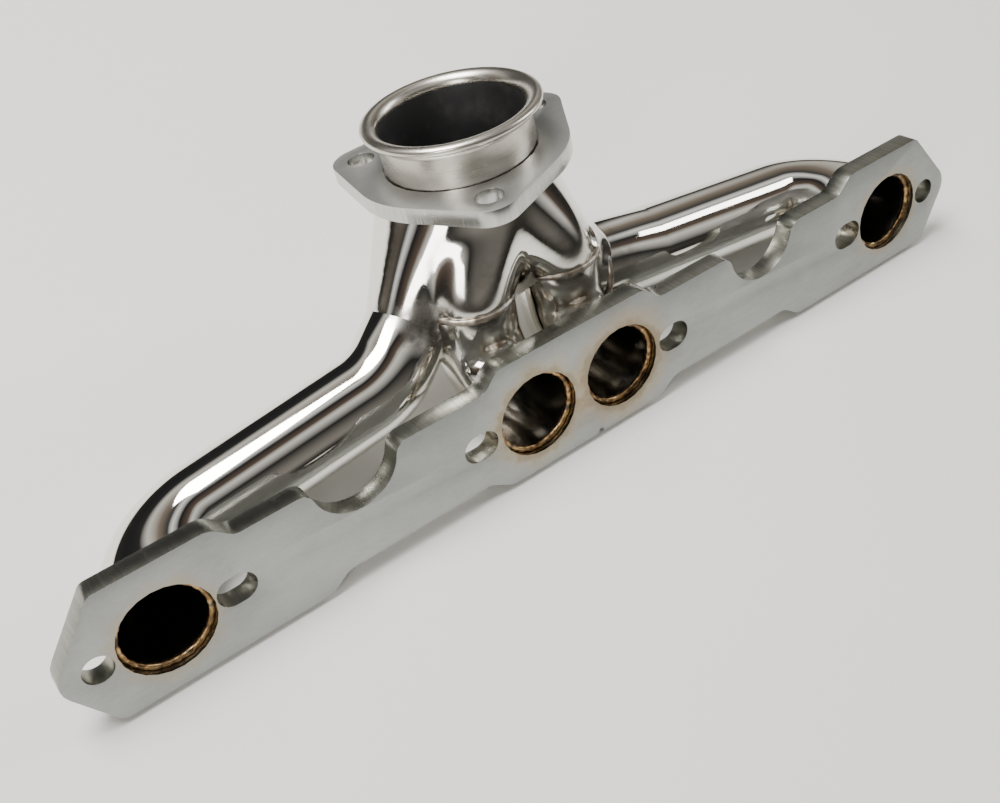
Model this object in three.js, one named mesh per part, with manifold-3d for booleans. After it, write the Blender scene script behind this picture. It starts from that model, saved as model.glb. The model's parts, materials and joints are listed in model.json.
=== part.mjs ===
// Four-port exhaust manifold for one bank of a V8 engine.
//
// A laser-cut head flange carries four primary tubes.  The two outer tubes sweep in along the
// flange, the two inner ones turn straight up, and all four meet in a formed collector.  A flared
// outlet neck stands on the collector and keeps a loose three-bolt flange captive, so that the
// flange can be swivelled to any bolt position.
//
// Millimetres.  The parts are laid out in the head flange's own frame: X along the flange,
// Y away from the cylinder head (y = 0 is the sealing face), Z up towards the outlet.  The whole
// assembly is then tipped back until it lies on the flange's lower edge and on the outer tubes,
// with the origin at the middle of its footprint.

import * as THREE from "three";
import { mergeVertices } from "three/addons/utils/BufferGeometryUtils.js";
import Module from "manifold-3d";

const wasm = await Module();
wasm.setup();

// ---- driving dimensions --------------------------------------------------------------------

const GAP = 0.35;                  // clearance left between pieces that touch or are welded

const FLANGE_THICKNESS = 9.525;    // head flange plate, 3/8 in
const FLANGE_TOP = 32.6;           // pads above the port line
const FLANGE_BOTTOM = -28.8;       // pads below the port line
const WAIST_TOP = 24.5;            // slimmer stretches between the pads
const WAIST_BOTTOM = -21.7;
const INNER_PORT_X = 23.6;         // port centres, left and right of the middle
const OUTER_PORT_X = 199.9;
const PORT_RADIUS = 20.1;
const END_HOLE_X = 227.7;          // bolt holes on the port line
const OUTER_SLOT_X = 170.6;
const INNER_SLOT_X = 54.4;
const END_HOLE_RADIUS = 6.35;
const SLOT_RADIUS = 6.8;
const SLOT_STRETCH = 1.8;          // half the distance between a slot's two round ends
const SCALLOP_X = 111.76;          // clearance for the spark plugs, one bore spacing out
const SCALLOP_Z = 24;
const SCALLOP_RADIUS = 19.7;
const SCALLOP_LIP = 6;             // rounding where a scallop meets the flange's edge

const TUBE_RADIUS = 19.7;          // primary tubes, outside
const TUBE_WALL = 1.6;
const TUBE_START_Y = 4.6;          // the tubes stop short of the sealing face, inside the ports
const OUTER_BEND = new THREE.Vector3(OUTER_PORT_X, 49.4, 0);
const OUTER_BEND_RADIUS = 38.5;
const SWEEP_BEND = new THREE.Vector3(80, 46.7, 17.6);
const SWEEP_BEND_RADIUS = 45;
const RIGHT_TUBE_END = new THREE.Vector3(57, 46.5, 22);
const LEFT_TUBE_END = new THREE.Vector3(57, 55.5, 32);
const INNER_BEND_Y = 41.5;
const INNER_BEND_RADIUS = 27;
const INNER_TUBE_END_Z = 42;

const OUTLET_FOOT = new THREE.Vector3(0.6, 66.7, 86);    // the neck's base
const OUTLET_AXIS = new THREE.Vector3(-0.042, 0.016, 1).normalize();
const NECK_RADIUS = 33.9;
const NECK_WALL = 1.7;
const NECK_HEIGHT = 30.6;
const LIP_RADIUS = 39.9;
const LIP_UNDERSIDE = 26.8;        // height of the lip's lower side above the neck's base

const LOOSE_FLANGE_TOP = 9;        // height of the loose flange's upper face above the base
const LOOSE_FLANGE_THICKNESS = 7.2;
const LOOSE_FLANGE_BORE = 34.8;
const LOOSE_FLANGE_RIM = 48;       // radius of the ring of metal around the bore
const LOOSE_FLANGE_EAR = 13;       // radius of each bolt ear
const BOLT_CIRCLE_RADIUS = 47;
const BOLT_HOLE_RADIUS = 6.3;
const FIRST_BOLT_ANGLE = THREE.MathUtils.degToRad(10.5);

const TUBE_SIDES = 20;
const WELD_SIDES = 24;
const LOBE_SIDES = 22;
const LOBE_STEPS = 7;

// ---- materials -----------------------------------------------------------------------------

function metal(color, roughness) {
  return new THREE.MeshStandardMaterial({ color, roughness, metalness: 1 });
}

const FINISH = {
  plate: () => metal(0x8d9192, 0.45),
  polished: () => metal(0xc9c7c0, 0.08),
  brushed: () => metal(0xaaa79d, 0.3),
  rearWeld: () => metal(0x8f8676, 0.4),
  portWeld: () => metal(0xa07a45, 0.35),
};

// ---- solids --------------------------------------------------------------------------------

function toSolid(geometry) {
  const bare = geometry.clone();
  bare.deleteAttribute("normal");
  bare.deleteAttribute("uv");
  const merged = mergeVertices(bare, 1e-4);
  return new wasm.Manifold(new wasm.Mesh({
    numProp: 3,
    vertProperties: new Float32Array(merged.attributes.position.array),
    triVerts: new Uint32Array(merged.index.array),
  }));
}

function toGeometry(solid) {
  const mesh = solid.getMesh();
  const geometry = new THREE.BufferGeometry();
  geometry.setAttribute("position", new THREE.BufferAttribute(mesh.vertProperties, 3));
  geometry.setIndex(new THREE.BufferAttribute(mesh.triVerts, 1));
  geometry.computeVertexNormals();
  return geometry;
}

function unite(solids) {
  return solids.reduce((joined, next) => joined.add(next));
}

function cut(solid, tools) {
  return tools.reduce((rest, tool) => rest.subtract(tool), solid);
}

function largestBody(solid) {
  return solid.decompose().reduce((best, body) => (body.volume() > best.volume() ? body : best));
}

// A closed skin over rings of points, with a fan across each end.
function skin(rings) {
  const sides = rings[0].length;
  const middle = (ring) => ring.reduce((sum, p) => sum.add(p), new THREE.Vector3())
    .divideScalar(sides);
  const points = [...rings.flat(), middle(rings[0]), middle(rings.at(-1))];
  const first = points.length - 2;
  const last = points.length - 1;
  const faces = [];
  for (let i = 0; i < sides; i++) {
    const j = (i + 1) % sides;
    for (let r = 0; r < rings.length - 1; r++) {
      const a = r * sides;
      const b = a + sides;
      faces.push(a + i, a + j, b + j, a + i, b + j, b + i);
    }
    const top = (rings.length - 1) * sides;
    faces.push(first, j, i, last, top + i, top + j);
  }
  const geometry = new THREE.BufferGeometry();
  geometry.setAttribute("position", new THREE.Float32BufferAttribute(
    points.flatMap((p) => p.toArray()), 3));
  geometry.setIndex(faces);
  return geometry;
}

// A ring of points around a centre, square to a direction.  The side vector fixes where the
// first point lies, and the turn moves it on around the ring.
function ringAt(centre, along, side, radius, sides, turn = 0) {
  const u = side.clone().addScaledVector(along, -side.dot(along)).normalize();
  const v = along.clone().cross(u);
  return Array.from({ length: sides }, (_, k) => {
    const angle = (2 * Math.PI * k) / sides + turn;
    return centre.clone()
      .addScaledVector(u, radius * Math.cos(angle))
      .addScaledVector(v, radius * Math.sin(angle));
  });
}

// ---- centrelines ---------------------------------------------------------------------------

// Straight runs between corners, with each corner rounded to a bend of the given radius.
function bentPath(points, radii) {
  const path = new THREE.CurvePath();
  let start = points[0].clone();
  for (let i = 1; i < points.length - 1; i++) {
    const corner = points[i];
    const back = points[i - 1].clone().sub(corner).normalize();
    const ahead = points[i + 1].clone().sub(corner).normalize();
    const half = back.angleTo(ahead) / 2;
    const run = radii[i - 1] / Math.tan(half);
    const enter = corner.clone().addScaledVector(back, run);
    const leave = corner.clone().addScaledVector(ahead, run);
    const centre = corner.clone().addScaledVector(
      back.clone().add(ahead).normalize(), radii[i - 1] / Math.sin(half));
    path.add(new THREE.LineCurve3(start, enter));
    path.add(new ArcCurve3(centre, enter, leave));
    start = leave;
  }
  path.add(new THREE.LineCurve3(start, points.at(-1).clone()));
  return path;
}

// The shorter arc around a centre from one point to another.
class ArcCurve3 extends THREE.Curve {
  constructor(centre, from, to) {
    super();
    this.centre = centre;
    this.from = from.clone().sub(centre);
    this.to = to.clone().sub(centre);
    this.sweep = this.from.angleTo(this.to);
  }

  getPoint(t, target = new THREE.Vector3()) {
    const a = Math.sin((1 - t) * this.sweep) / Math.sin(this.sweep);
    const b = Math.sin(t * this.sweep) / Math.sin(this.sweep);
    return target.copy(this.centre).addScaledVector(this.from, a).addScaledVector(this.to, b);
  }
}

function mirrored(point, side) {
  return new THREE.Vector3(point.x * side, point.y, point.z);
}

function outerTubePath(side) {
  const start = new THREE.Vector3(OUTER_PORT_X, TUBE_START_Y, 0);
  const points = [start, OUTER_BEND, SWEEP_BEND, side < 0 ? LEFT_TUBE_END : RIGHT_TUBE_END];
  return bentPath(points.map((p) => mirrored(p, side)), [OUTER_BEND_RADIUS, SWEEP_BEND_RADIUS]);
}

function innerTubePath(side, overrun = 0) {
  const points = [
    new THREE.Vector3(INNER_PORT_X, TUBE_START_Y, 0),
    new THREE.Vector3(INNER_PORT_X, INNER_BEND_Y, 0),
    new THREE.Vector3(INNER_PORT_X, INNER_BEND_Y, INNER_TUBE_END_Z + overrun),
  ];
  return bentPath(points.map((p) => mirrored(p, side)), [INNER_BEND_RADIUS]);
}

// ---- head flange ---------------------------------------------------------------------------

// Points of an outline whose corners are rounded: each corner is [x, z, radius].
function roundedCorners(corners) {
  const points = [];
  for (let i = 1; i < corners.length - 1; i++) {
    const [x, z, radius] = corners[i];
    const corner = new THREE.Vector2(x, z);
    const back = new THREE.Vector2(corners[i - 1][0], corners[i - 1][1]).sub(corner).normalize();
    const ahead = new THREE.Vector2(corners[i + 1][0], corners[i + 1][1]).sub(corner).normalize();
    const half = Math.acos(THREE.MathUtils.clamp(back.dot(ahead), -1, 1)) / 2;
    const run = radius / Math.tan(half);
    const enter = corner.clone().addScaledVector(back, run);
    const leave = corner.clone().addScaledVector(ahead, run);
    const centre = corner.clone().addScaledVector(
      back.clone().add(ahead).normalize(), radius / Math.sin(half));
    const from = enter.clone().sub(centre);
    const to = leave.clone().sub(centre);
    const sweep = Math.atan2(from.cross(to), from.dot(to));
    const steps = Math.max(2, Math.ceil(Math.abs(sweep) / 0.3));
    for (let k = 0; k <= steps; k++) {
      points.push(from.clone().rotateAround(new THREE.Vector2(), (sweep * k) / steps).add(centre));
    }
  }
  return points;
}

// The scallop's two lips and its arc, from the middle of the flange outwards.
function scallop() {
  const lipZ = WAIST_TOP - SCALLOP_LIP;
  const reach = SCALLOP_RADIUS + SCALLOP_LIP;
  const lipX = Math.sqrt(reach ** 2 - (SCALLOP_Z - lipZ) ** 2);
  const tilt = Math.atan2(SCALLOP_Z - lipZ, lipX);
  const arc = (x, z, radius, from, to, steps) => Array.from({ length: steps + 1 }, (_, k) => {
    const angle = from + ((to - from) * k) / steps;
    return new THREE.Vector2(x + radius * Math.cos(angle), z + radius * Math.sin(angle));
  });
  const quarter = Math.PI / 2;
  return [
    ...arc(SCALLOP_X - lipX, lipZ, SCALLOP_LIP, quarter, tilt, 5),
    ...arc(SCALLOP_X, SCALLOP_Z, SCALLOP_RADIUS, Math.PI + tilt, 2 * Math.PI - tilt, 14).slice(1, -1),
    ...arc(SCALLOP_X + lipX, lipZ, SCALLOP_LIP, Math.PI - tilt, quarter, 5),
  ];
}

function headFlangeOutline() {
  const rightHalf = [
    ...roundedCorners([[0, FLANGE_TOP], [40.5, FLANGE_TOP, 9], [48, WAIST_TOP, 8], [80, WAIST_TOP]]),
    ...scallop(),
    ...roundedCorners([
      [150, WAIST_TOP], [163.5, WAIST_TOP, 6], [172, FLANGE_TOP, 9], [219.5, FLANGE_TOP, 4],
      [244.8, 0.7, 11], [228, FLANGE_BOTTOM, 5], [135.5, FLANGE_BOTTOM, 8],
      [126, WAIST_BOTTOM, 8], [54, WAIST_BOTTOM, 8], [43, FLANGE_BOTTOM, 8], [0, FLANGE_BOTTOM],
    ]),
  ];
  const leftHalf = rightHalf.map((p) => new THREE.Vector2(-p.x, p.y)).reverse();
  return new THREE.Shape([...rightHalf, ...leftHalf].reverse());
}

function roundHole(x, radius) {
  return new THREE.Path().absarc(x, 0, radius, 0, 2 * Math.PI, true);
}

function slot(x) {
  const quarter = Math.PI / 2;
  return new THREE.Path()
    .absarc(x + SLOT_STRETCH, 0, SLOT_RADIUS, -quarter, quarter, false)
    .absarc(x - SLOT_STRETCH, 0, SLOT_RADIUS, quarter, 3 * quarter, false);
}

function headFlange() {
  const outline = headFlangeOutline();
  for (const side of [-1, 1]) {
    outline.holes.push(
      roundHole(side * INNER_PORT_X, PORT_RADIUS),
      roundHole(side * OUTER_PORT_X, PORT_RADIUS),
      roundHole(side * END_HOLE_X, END_HOLE_RADIUS),
      slot(side * OUTER_SLOT_X),
      slot(side * INNER_SLOT_X),
    );
  }
  const plate = new THREE.ExtrudeGeometry(outline, {
    depth: FLANGE_THICKNESS, bevelEnabled: false, curveSegments: 12,
  });
  return plate.rotateX(Math.PI / 2).translate(0, FLANGE_THICKNESS, 0);
}

// ---- primary tubes -------------------------------------------------------------------------

function disc(radius) {
  return new THREE.Shape().absarc(0, 0, radius, 0, 2 * Math.PI, false);
}

function tube(path, steps) {
  const ring = disc(TUBE_RADIUS);
  ring.holes.push(disc(TUBE_RADIUS - TUBE_WALL));
  return new THREE.ExtrudeGeometry(ring, {
    steps, bevelEnabled: false, extrudePath: path, curveSegments: TUBE_SIDES / 2,
  });
}

// ---- collector -----------------------------------------------------------------------------

const COLLAR_DEPTH = 9;            // short straight collar under the neck
const SHOULDER_DROP = 3;           // the lobes' shoulders stop this far below the neck
const LOBE_TUCK = 0.9;             // the lobes run up inside the collar by this much
const LOBE_BULGE = 4.5;            // extra fullness of a lobe half way up
const LOBE_CURVES = {              // how far a lobe holds its tube's and the outlet's direction
  outer: { reach: 10, lift: 22 },
  inner: { reach: 12, lift: 18 },
};
const SLIVER = 0.02;               // edges shorter than this are closed up after the cuts
const UP = new THREE.Vector3(0, 0, 1);

// One lobe of the collector: it leaves a tube's end and swells into the outlet's circle.
function lobe(from, along, { reach, lift }, inset, overrun) {
  const start = from.clone().addScaledVector(along, GAP - overrun);
  const end = OUTLET_FOOT.clone().addScaledVector(OUTLET_AXIS, -GAP - COLLAR_DEPTH / 2);
  const curve = new THREE.CubicBezierCurve3(
    start,
    from.clone().addScaledVector(along, reach),
    end.clone().addScaledVector(OUTLET_AXIS, -lift),
    end,
  );
  const side = along.clone().cross(UP);
  if (side.lengthSq() < 0.01) side.set(1, 0, 0);
  const turn = -Math.atan2(side.y, side.x);
  const rings = [];
  for (let i = 0; i <= LOBE_STEPS; i++) {
    const t = i / LOBE_STEPS;
    const swell = THREE.MathUtils.smoothstep(t, 0, 1);
    const radius = THREE.MathUtils.lerp(TUBE_RADIUS, NECK_RADIUS - LOBE_TUCK, swell)
      + LOBE_BULGE * Math.sin(Math.PI * t) - inset;
    rings.push(ringAt(curve.getPoint(t), curve.getTangent(t), side, radius, LOBE_SIDES, turn));
  }
  return toSolid(skin(rings));
}

function tubeEnds() {
  return [-1, 1].flatMap((side) => {
    const outer = outerTubePath(side);
    const inner = innerTubePath(side);
    return [
      { side, name: "outer", at: outer.getPointAt(1), along: outer.getTangentAt(1) },
      { side, name: "inner", at: inner.getPointAt(1), along: inner.getTangentAt(1) },
    ];
  });
}

function lobes(inset, overrun) {
  const length = COLLAR_DEPTH + overrun;
  const collar = new THREE.CylinderGeometry(
    NECK_RADIUS - inset, NECK_RADIUS - inset, length, LOBE_SIDES).rotateX(Math.PI / 2)
    .translate(0, 0, length / 2 - COLLAR_DEPTH - GAP);
  const headroom = new THREE.CylinderGeometry(
    2 * NECK_RADIUS, 2 * NECK_RADIUS, NECK_HEIGHT, LOBE_SIDES).rotateX(Math.PI / 2)
    .translate(0, 0, NECK_HEIGHT / 2 - SHOULDER_DROP);
  const swept = unite(tubeEnds().map(
    ({ name, at, along }) => lobe(at, along, LOBE_CURVES[name], inset, overrun)));
  return swept.subtract(toSolid(onOutlet(headroom))).add(toSolid(onOutlet(collar)));
}

// A plain round bar along a tube's centreline, used to clear the tube's own space.
function bar(path, radius, steps) {
  const solid = new THREE.ExtrudeGeometry(disc(radius), {
    steps, bevelEnabled: false, extrudePath: path, curveSegments: TUBE_SIDES / 2,
  });
  return toSolid(solid);
}

function collector() {
  const shell = lobes(0, 0).subtract(lobes(TUBE_WALL, 1));
  const clearance = [-1, 1].map(
    (side) => bar(innerTubePath(side, GAP), TUBE_RADIUS + 2 * GAP, 10));
  const beadRoom = tubeEnds().map((end) => toSolid(bead(end, GAP)));
  return toGeometry(largestBody(cut(shell, [...clearance, ...beadRoom])).simplify(SLIVER));
}

// ---- weld beads ----------------------------------------------------------------------------

// A ring turned about an axis: its section is a list of [radius, height] points.
function turned(section, sides) {
  const closed = [...section, section[0]].map(([r, h]) => new THREE.Vector2(r, h));
  return new THREE.LatheGeometry(closed, sides).rotateX(Math.PI / 2);
}

function aimed(geometry, at, along) {
  const turn = new THREE.Quaternion().setFromUnitVectors(UP, along);
  return geometry.applyQuaternion(turn).translate(at.x, at.y, at.z);
}

// Stands a piece made around the Z axis on the outlet's axis, with z = 0 at the neck's base.
function onOutlet(geometry) {
  return aimed(geometry, OUTLET_FOOT, OUTLET_AXIS);
}

// The crowned bead around a butt joint.  Grow adds clearance all round it.
function crown(radius, halfWidth, height, grow) {
  const inside = radius + GAP - grow;
  return turned([
    [inside, -halfWidth - grow],
    [radius + GAP + height * 0.7 + grow, -halfWidth * 0.55 - grow],
    [radius + GAP + height + grow, 0],
    [radius + GAP + height * 0.7 + grow, halfWidth * 0.55 + grow],
    [inside, halfWidth + grow],
  ], WELD_SIDES);
}

function bead({ at, along }, grow) {
  const joint = at.clone().addScaledVector(along, GAP / 2);
  return aimed(crown(TUBE_RADIUS, 2.6, 1.5, grow), joint, along);
}

// The fillet between a tube and the back of the head flange.
function rearFillet(x) {
  const root = TUBE_RADIUS + GAP;
  const back = FLANGE_THICKNESS + GAP;
  const fillet = turned([
    [root, 0], [root + 3, 0], [root + 2.4, 1.1], [root + 1.2, 2], [root, 2.4],
  ], WELD_SIDES);
  return aimed(fillet, new THREE.Vector3(x, back, 0), new THREE.Vector3(0, 1, 0));
}

// The weld inside a port, between the tube's end and the port's wall.
function portWeld(x) {
  const wall = PORT_RADIUS - GAP;
  const weld = turned([
    [wall, 0], [wall, 2.6], [wall - 2.2, 2.6], [wall - 1.9, 1.3], [wall - 1.0, 0.3],
  ], WELD_SIDES);
  const seat = new THREE.Vector3(x, TUBE_START_Y - GAP - 2.6, 0);
  return aimed(weld, seat, new THREE.Vector3(0, 1, 0));
}

function neckWeld() {
  return onOutlet(crown(NECK_RADIUS + GAP, 0.8, 1.3, 0).translate(0, 0, GAP));
}

// ---- outlet --------------------------------------------------------------------------------

function outletNeck() {
  const bore = NECK_RADIUS - NECK_WALL;
  const cove = LIP_RADIUS - 1.5 - NECK_RADIUS;
  const arc = (r, z, radius, from, to, steps) => Array.from({ length: steps + 1 }, (_, k) => {
    const angle = THREE.MathUtils.degToRad(from + ((to - from) * k) / steps);
    return [r + radius * Math.cos(angle), z + radius * Math.sin(angle)];
  });
  const profile = [
    [NECK_RADIUS, 0],
    ...arc(NECK_RADIUS + cove, LIP_UNDERSIDE - cove, cove, 180, 90, 4),
    ...arc(LIP_RADIUS - 1.5, LIP_UNDERSIDE + 1.5, 1.5, -45, 60, 3),
    [LIP_RADIUS - 1.6, NECK_HEIGHT],
    ...arc(bore + 2.6, NECK_HEIGHT - 2.2, 2.2, 90, 180, 3),
    [bore, LIP_UNDERSIDE - cove],
    [bore, 0],
  ];
  return onOutlet(turned(profile, 32));
}

function boltAngles() {
  return [0, 1, 2].map((k) => FIRST_BOLT_ANGLE + (k * 2 * Math.PI) / 3);
}

// Ears on the bolt circle joined to a round rim by straight tangents.
function looseFlangeOutline() {
  const shape = new THREE.Shape();
  const spread = Math.acos((LOOSE_FLANGE_RIM - LOOSE_FLANGE_EAR) / BOLT_CIRCLE_RADIUS);
  const third = (2 * Math.PI) / 3;
  for (const angle of boltAngles()) {
    const x = BOLT_CIRCLE_RADIUS * Math.cos(angle);
    const y = BOLT_CIRCLE_RADIUS * Math.sin(angle);
    shape.absarc(x, y, LOOSE_FLANGE_EAR, angle - spread, angle + spread, false);
    shape.absarc(0, 0, LOOSE_FLANGE_RIM, angle + spread, angle + third - spread, false);
  }
  return shape;
}

function looseFlange() {
  const outline = looseFlangeOutline();
  outline.holes.push(new THREE.Path().absarc(0, 0, LOOSE_FLANGE_BORE, 0, 2 * Math.PI, true));
  for (const angle of boltAngles()) {
    outline.holes.push(new THREE.Path().absarc(
      BOLT_CIRCLE_RADIUS * Math.cos(angle), BOLT_CIRCLE_RADIUS * Math.sin(angle),
      BOLT_HOLE_RADIUS, 0, 2 * Math.PI, true));
  }
  const plate = new THREE.ExtrudeGeometry(outline, {
    depth: LOOSE_FLANGE_THICKNESS, bevelEnabled: false, curveSegments: 12,
  });
  return onOutlet(plate.translate(0, 0, LOOSE_FLANGE_TOP - LOOSE_FLANGE_THICKNESS));
}

// ---- assembly ------------------------------------------------------------------------------

const assembly = new THREE.Group();

function place(name, geometry, material) {
  const mesh = new THREE.Mesh(geometry, material);
  mesh.name = name;
  assembly.add(mesh);
}

place("head_flange", headFlange(), FINISH.plate());
for (const side of [-1, 1]) {
  const hand = side < 0 ? "left" : "right";
  place(`outer_tube_${hand}`, tube(outerTubePath(side), 20), FINISH.polished());
  place(`inner_tube_${hand}`, tube(innerTubePath(side), 10), FINISH.polished());
  for (const [run, x] of [["outer", side * OUTER_PORT_X], ["inner", side * INNER_PORT_X]]) {
    place(`flange_weld_${run}_${hand}`, rearFillet(x), FINISH.rearWeld());
    place(`port_weld_${run}_${hand}`, portWeld(x), FINISH.portWeld());
  }
}
for (const end of tubeEnds()) {
  const hand = end.side < 0 ? "left" : "right";
  place(`collector_weld_${end.name}_${hand}`, bead(end, 0), FINISH.rearWeld());
}
place("collector", collector(), FINISH.polished());
place("neck_weld", neckWeld(), FINISH.rearWeld());
place("outlet_neck", outletNeck(), FINISH.brushed());
place("outlet_flange", looseFlange(), FINISH.plate());

// The tilt at which the flange's lower rear edge and the outer tubes lie on one surface.
function restingTilt() {
  const edge = new THREE.Vector2(FLANGE_THICKNESS, FLANGE_BOTTOM);
  const angles = outerTubePath(1).getSpacedPoints(80).map((p) => {
    const reach = new THREE.Vector2(p.y, p.z).sub(edge);
    return reach.angle() - Math.asin(Math.min(1, TUBE_RADIUS / reach.length()));
  });
  return Math.min(...angles);
}

assembly.rotation.x = -restingTilt();
assembly.updateMatrixWorld(true);
const extent = new THREE.Box3().setFromObject(assembly, true);
const middle = extent.getCenter(new THREE.Vector3());
assembly.position.set(-middle.x, -middle.y, -extent.min.z);

const manifold = new THREE.Group();
manifold.add(assembly);

export default manifold;
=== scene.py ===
"""Exhaust manifold for a V8 engine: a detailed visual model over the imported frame.

A satin head flange carries four mirror-polished primary tubes.  They run into a formed collector
with a flared outlet neck, which keeps a loose three-bolt flange captive.  Lengths in the class
bodies are millimetres in the head flange's own frame: X along the flange, Y away from the cylinder
head, Z up towards the outlet.  ``Layout`` turns them into metres in the model's frame.
"""

import json
import logging
import math
import random
from dataclasses import dataclass, field
from enum import Enum
from typing import Callable, Iterable, Sequence

import bpy
from mathutils import Matrix, Vector


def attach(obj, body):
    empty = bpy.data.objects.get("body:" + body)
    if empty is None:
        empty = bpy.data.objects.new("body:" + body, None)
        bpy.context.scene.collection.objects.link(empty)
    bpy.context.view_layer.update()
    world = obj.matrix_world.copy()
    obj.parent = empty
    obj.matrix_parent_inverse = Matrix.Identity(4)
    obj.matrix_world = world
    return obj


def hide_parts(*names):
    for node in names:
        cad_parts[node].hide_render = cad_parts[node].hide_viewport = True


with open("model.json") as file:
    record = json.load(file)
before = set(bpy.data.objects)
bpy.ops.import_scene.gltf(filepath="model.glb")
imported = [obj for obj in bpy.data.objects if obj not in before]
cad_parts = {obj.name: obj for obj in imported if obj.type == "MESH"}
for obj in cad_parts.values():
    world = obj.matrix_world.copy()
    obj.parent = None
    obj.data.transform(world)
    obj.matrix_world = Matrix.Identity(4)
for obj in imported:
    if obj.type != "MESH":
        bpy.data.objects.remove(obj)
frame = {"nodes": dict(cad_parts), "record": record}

LOG = logging.getLogger("manifold")
MM = 0.001
SEED = 11
MANIFOLD = "manifold"
LOOSE = "loose_flange"
BARE_METAL = 1.0


class Side(Enum):
    """Which half of the manifold a piece belongs to."""

    LEFT = -1
    RIGHT = 1

    @property
    def label(self) -> str:
        """The side's name in node names."""
        return self.name.lower()


class Run(Enum):
    """The two kinds of primary tube."""

    OUTER = "outer"
    INNER = "inner"


# ---- layout ---------------------------------------------------------------------------------


class Layout:
    """Turns millimetres in the flange's and outlet's frames into metres in the model's frame."""

    def __init__(self, record: dict) -> None:
        """Reads the two frames from the record.

        Args:
            record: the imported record, whose mounts and joint fix both frames.
        """
        mounts = {m["name"]: m for m in record["mounts"]}
        face = mounts["head_face"]
        joint = record["behaviour"]["joints"][0]
        back = -Vector(face["axis"]).normalized()
        along = Vector((1.0, 0.0, 0.0))
        self.flange = Matrix.Translation(face["pos_m"]) @ Matrix(
            (along, back, along.cross(back))).transposed().to_4x4()
        axis = Vector(joint["axis"]).normalized()
        foot = Vector(joint["pos_m"]) - axis * (OutletNeck.SWIVEL_HEIGHT * MM)
        self.outlet = Matrix.Translation(foot) @ axis.to_track_quat("Z", "Y").to_matrix().to_4x4()
        self.outlet_axis = axis

    def point(self, place: Sequence[float]) -> Vector:
        """A point of the flange's frame in the model's frame.

        Args:
            place: x, y, z in millimetres.

        Returns:
            The same point in metres.
        """
        return self.flange @ (Vector(place) * MM)

    def direction(self, way: Sequence[float]) -> Vector:
        """A direction of the flange's frame in the model's frame.

        Args:
            way: a vector of any length.

        Returns:
            The unit vector in the model's frame.
        """
        return (self.flange.to_3x3() @ Vector(way)).normalized()

    def on_outlet(self, height: float) -> Vector:
        """A point on the outlet's axis.

        Args:
            height: millimetres above the neck's base.

        Returns:
            The point in metres.
        """
        return self.outlet @ Vector((0.0, 0.0, height * MM))


# ---- modelling by operators -----------------------------------------------------------------


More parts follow.
